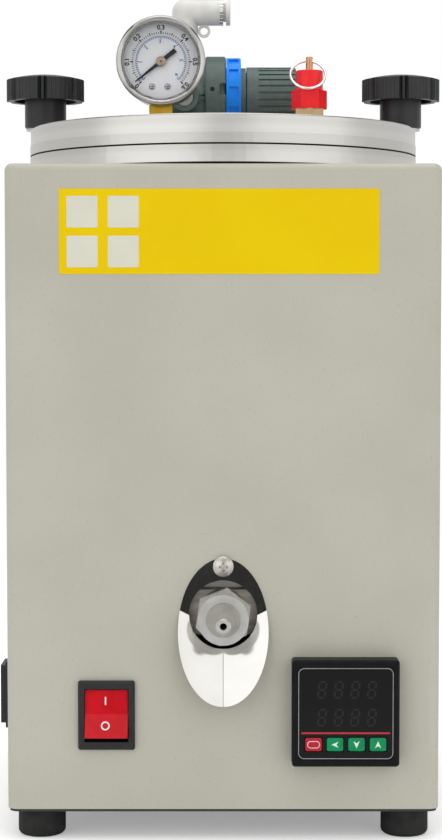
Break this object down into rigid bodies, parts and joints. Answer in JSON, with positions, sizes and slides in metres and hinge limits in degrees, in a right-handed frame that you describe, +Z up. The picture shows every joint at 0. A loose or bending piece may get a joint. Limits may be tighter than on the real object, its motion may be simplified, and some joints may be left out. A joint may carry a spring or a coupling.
{
  "type": "jewelry wax injector",
  "caption": "Heated pressure pot in a box housing, with a clamped lid carrying gauge, air regulator and relief valve, and a sprung front nozzle.",
  "frame": {"origin": "middle of the whole object's footprint, on the surface its feet stand on", "axes": "+Z up, -Y towards the nozzle and the user, +X to the user's right"},
  "size_m": [0.2112, 0.2342, 0.3946],
  "materials": {
    "painted_sheet": "fine textured powder coat",
    "black_rubber": "moulded",
    "zinc_screw": "zinc plated",
    "turned_aluminium": "turned",
    "fibre": "pressed fibre",
    "silicone": "moulded",
    "heater_steel": "plain",
    "glass_wool": "felted",
    "brass": "turned",
    "stainless_steel": "turned",
    "polished_steel": "polished",
    "black_plastic": "moulded",
    "dial_print": "printed",
    "gauge_glass": "clear",
    "pointer_black": "plain",
    "grey_casting": "satin coat",
    "grey_plastic": "moulded",
    "blue_plastic": "moulded",
    "pale_plastic": "moulded",
    "red_plastic": "moulded",
    "switch_red": "moulded",
    "switch_black": "moulded",
    "controller_black": "moulded",
    "controller_face": "printed front",
    "key_red": "moulded",
    "key_green": "moulded"
  },
  "bodies": {
    "injector": {"housing_shell": "painted_sheet", "rear_panel": "painted_sheet", "rear_panel_screws": "zinc_screw", "base_plate": "painted_sheet", "foot_front_left": "black_rubber", "foot_front_right": "black_rubber", "foot_rear_left": "black_rubber", "foot_rear_right": "black_rubber", "foot_screws": "zinc_screw", "wax_pot": "turned_aluminium", "seat_ring": "fibre", "lid_gasket": "silicone", "band_heater": "heater_steel", "insulation_jacket": "glass_wool", "temperature_probe": "brass", "valve_block": "turned_aluminium", "nozzle_body": "stainless_steel", "nozzle_spring": "stainless_steel", "drip_plate": "polished_steel", "drip_plate_screw": "polished_steel", "switch_frame": "switch_black", "controller_case": "controller_black", "controller_front": "controller_face", "power_inlet": "black_plastic", "inlet_pins": "brass", "solid_state_relay": "pale_plastic"},
    "lid_group": {"lid": "turned_aluminium", "gauge_case": "stainless_steel", "gauge_bezel": "polished_steel", "gauge_dial": "dial_print", "gauge_lens": "gauge_glass", "gauge_stem": "brass", "regulator_body": "grey_casting", "regulator_plug": "stainless_steel", "regulator_bonnet": "grey_plastic", "regulator_lock_ring": "blue_plastic", "regulator_nipple": "brass", "elbow_stem": "brass", "safety_valve_base": "brass", "safety_valve_cap": "red_plastic"},
    "washer_left": {"clamp_washer_left": "zinc_screw"},
    "washer_right": {"clamp_washer_right": "zinc_screw"},
    "knob_left": {"clamp_knob_left": "black_plastic", "clamp_stud_left": "zinc_screw"},
    "knob_right": {"clamp_knob_right": "black_plastic", "clamp_stud_right": "zinc_screw"},
    "gauge_pointer": {"gauge_pointer": "pointer_black"},
    "regulator_spindle": {"regulator_spindle": "stainless_steel"},
    "regulator_knob": {"regulator_knob": "grey_plastic"},
    "elbow": {"elbow_body": "pale_plastic"},
    "release_collar": {"release_collar": "pale_plastic"},
    "safety_stem": {"safety_valve_stem": "stainless_steel"},
    "safety_ring": {"safety_valve_ring": "polished_steel"},
    "nozzle_tip": {"nozzle_tip": "stainless_steel", "nozzle_seal": "silicone"},
    "switch_rocker": {"switch_rocker": "switch_red"},
    "key_set": {"key_set": "key_red"},
    "key_left": {"key_left": "key_green"},
    "key_down": {"key_down": "key_green"},
    "key_up": {"key_up": "key_green"}
  },
  "joints": [
    {"name": "lid_lift", "type": "slide", "parent": "injector", "child": "lid_group", "axis": [0, 0, 1], "range_m": [0, 0.12]},
    {"name": "clamp_rise_left", "type": "slide", "parent": "lid_group", "child": "washer_left", "axis": [0, 0, 1], "range_m": [0, 0.00762]},
    {"name": "clamp_turn_left", "type": "hinge", "parent": "washer_left", "child": "knob_left", "pos_m": [-0.087, 0.0174, 0.3268], "axis": [0, 0, 1], "range_deg": [0, 2196]},
    {"name": "clamp_rise_right", "type": "slide", "parent": "lid_group", "child": "washer_right", "axis": [0, 0, 1], "range_m": [0, 0.00762]},
    {"name": "clamp_turn_right", "type": "hinge", "parent": "washer_right", "child": "knob_right", "pos_m": [0.087, 0.0174, 0.3268], "axis": [0, 0, 1], "range_deg": [0, 2196]},
    {"name": "gauge_reading", "type": "hinge", "parent": "lid_group", "child": "gauge_pointer", "pos_m": [-0.0294, -0.0106, 0.3566], "axis": [0, 1, 0], "range_deg": [0, 270], "stiffness_Nm_per_rad": 0.0002, "springref_deg": -17.19},
    {"name": "pressure_adjust", "type": "hinge", "parent": "lid_group", "child": "regulator_spindle", "pos_m": [-0.019, 0.0424, 0.3468], "axis": [-1, 0, 0], "range_deg": [0, 1800]},
    {"name": "knob_unlock", "type": "slide", "parent": "regulator_spindle", "child": "regulator_knob", "axis": [1, 0, 0], "range_m": [0, 0.003]},
    {"name": "elbow_swivel", "type": "hinge", "parent": "lid_group", "child": "elbow", "pos_m": [-0.019, 0.0424, 0.3768], "axis": [0, 0, 1], "continuous": true},
    {"name": "tube_release", "type": "slide", "parent": "elbow", "child": "release_collar", "axis": [-1, 0, 0], "range_m": [0, 0.0012]},
    {"name": "relief_lift", "type": "slide", "parent": "lid_group", "child": "safety_stem", "axis": [0, 0, 1], "range_m": [0, 0.003], "stiffness_N_per_m": 800, "springref_m": -0.004},
    {"name": "ring_swing", "type": "hinge", "parent": "safety_stem", "child": "safety_ring", "pos_m": [0.0416, 0.0024, 0.3591], "axis": [-1, 0, 0], "range_deg": [0, 290]},
    {"name": "nozzle_press", "type": "slide", "parent": "injector", "child": "nozzle_tip", "axis": [0, 1, 0], "range_m": [0, 0.003], "stiffness_N_per_m": 1500, "springref_m": -0.004, "deforming": ["nozzle_spring"]},
    {"name": "switch_rock", "type": "hinge", "parent": "injector", "child": "switch_rocker", "pos_m": [-0.0525, -0.0791, 0.0573], "axis": [1, 0, 0], "range_deg": [0, 24]},
    {"name": "press_set", "type": "slide", "parent": "injector", "child": "key_set", "axis": [0, 1, 0], "range_m": [0, 0.0005], "stiffness_N_per_m": 400, "springref_m": -0.001},
    {"name": "press_left", "type": "slide", "parent": "injector", "child": "key_left", "axis": [0, 1, 0], "range_m": [0, 0.0005], "stiffness_N_per_m": 400, "springref_m": -0.001},
    {"name": "press_down", "type": "slide", "parent": "injector", "child": "key_down", "axis": [0, 1, 0], "range_m": [0, 0.0005], "stiffness_N_per_m": 400, "springref_m": -0.001},
    {"name": "press_up", "type": "slide", "parent": "injector", "child": "key_up", "axis": [0, 1, 0], "range_m": [0, 0.0005], "stiffness_N_per_m": 400, "springref_m": -0.001}
  ],
  "couplings": [
    {"joint": "clamp_turn_left", "follows": "clamp_rise_left", "rad_per_m": 5026.5},
    {"joint": "clamp_turn_right", "follows": "clamp_rise_right", "rad_per_m": 5026.5}
  ]
}
